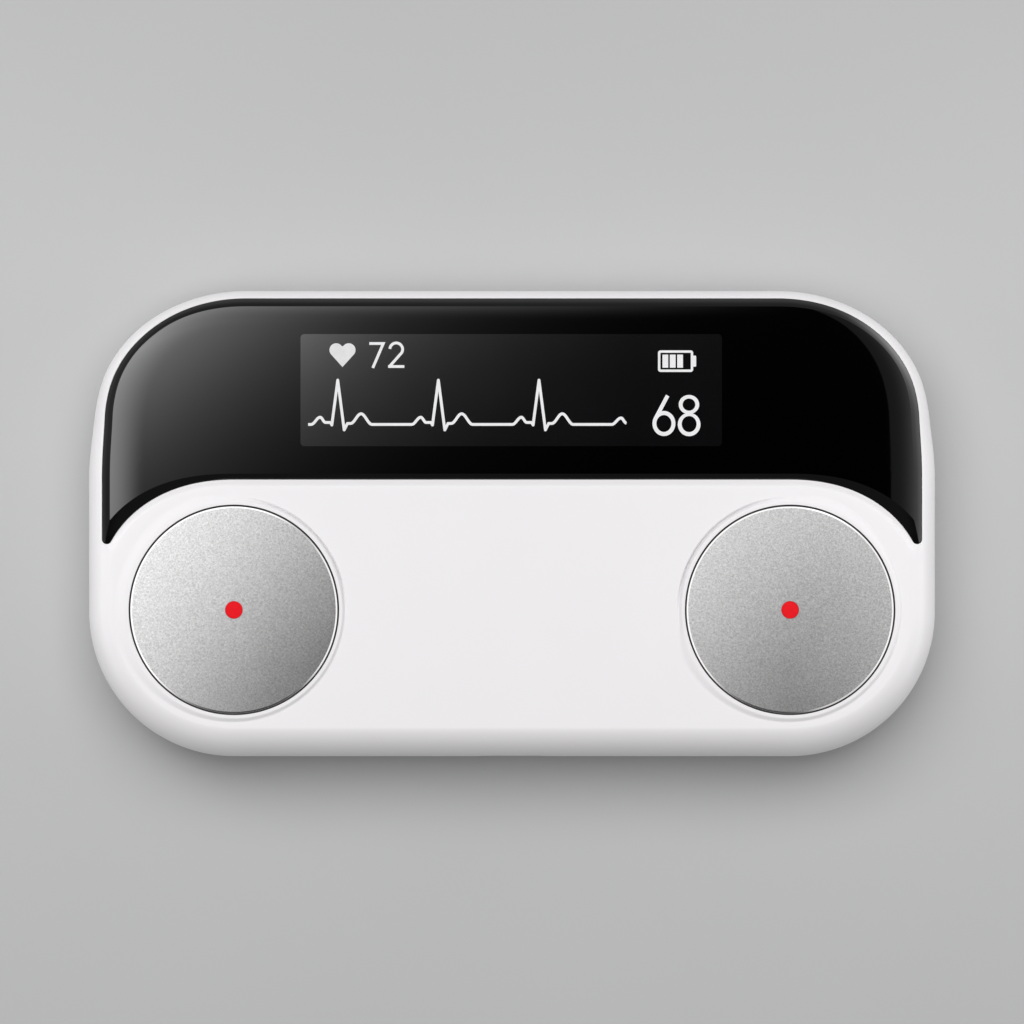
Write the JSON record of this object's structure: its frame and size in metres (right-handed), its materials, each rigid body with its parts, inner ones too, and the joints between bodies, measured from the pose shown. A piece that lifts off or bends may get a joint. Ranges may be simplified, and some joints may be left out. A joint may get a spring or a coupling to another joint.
{
  "type": "ecg home monitor",
  "caption": "Hand-held heart monitor with two steel thumb electrodes in a raised white panel, a scalloped black display window above them, and a power key on one edge.",
  "frame": {"origin": "on the flat back, under the middle of the body", "axes": "+X along the body to the right of someone who reads the display, +Y towards the edge above the display, +Z out of the face"},
  "size_m": [0.1, 0.055, 0.014],
  "materials": {
    "white_housing": "fine satin moulding",
    "black_window": "polished",
    "blasted_steel": "bead blasted with a bright chamfer",
    "red_enamel": "smooth",
    "dark_rubber": "matte",
    "tape": "matte film",
    "display_glass": "polished",
    "grey_plastic": "satin",
    "circuit_board": "solder mask",
    "chip_black": "moulded epoxy",
    "spring_steel": "plated strip",
    "amber_film": "satin film",
    "cell_foil": "satin foil",
    "red_wire": "smooth",
    "black_wire": "smooth",
    "plated_steel": "zinc plated"
  },
  "bodies": {
    "case": {"front_housing": "white_housing", "rear_housing": "white_housing", "display_window": "black_window", "window_tape": "tape", "left_electrode": "blasted_steel", "right_electrode": "blasted_steel", "left_centre_dot": "red_enamel", "right_centre_dot": "red_enamel", "left_electrode_seal": "dark_rubber", "right_electrode_seal": "dark_rubber", "left_stud_clip": "spring_steel", "right_stud_clip": "spring_steel", "left_contact_spring": "spring_steel", "right_contact_spring": "spring_steel", "oled_panel": "display_glass", "display_carrier": "grey_plastic", "display_flex": "amber_film", "flex_socket": "chip_black", "main_board": "circuit_board", "processor_chip": "chip_black", "ecg_chip": "chip_black", "memory_chip": "chip_black", "radio_module": "plated_steel", "buzzer": "chip_black", "battery_cell": "cell_foil", "battery_tape": "tape", "battery_socket": "grey_plastic", "battery_lead_plus": "red_wire", "battery_lead_minus": "black_wire", "case_screw_1": "plated_steel", "case_screw_2": "plated_steel", "case_screw_3": "plated_steel", "case_screw_4": "plated_steel", "key_switch": "chip_black", "charge_socket_shell": "plated_steel", "charge_socket_tongue": "chip_black"},
    "key": {"power_key": "grey_plastic", "switch_plunger": "red_enamel"}
  },
  "joints": [
    {"name": "power_key_press", "type": "slide", "parent": "case", "child": "key", "axis": [-1, 0, 0], "range_m": [0, 0.0004], "stiffness_N_per_m": 400}
  ]
}
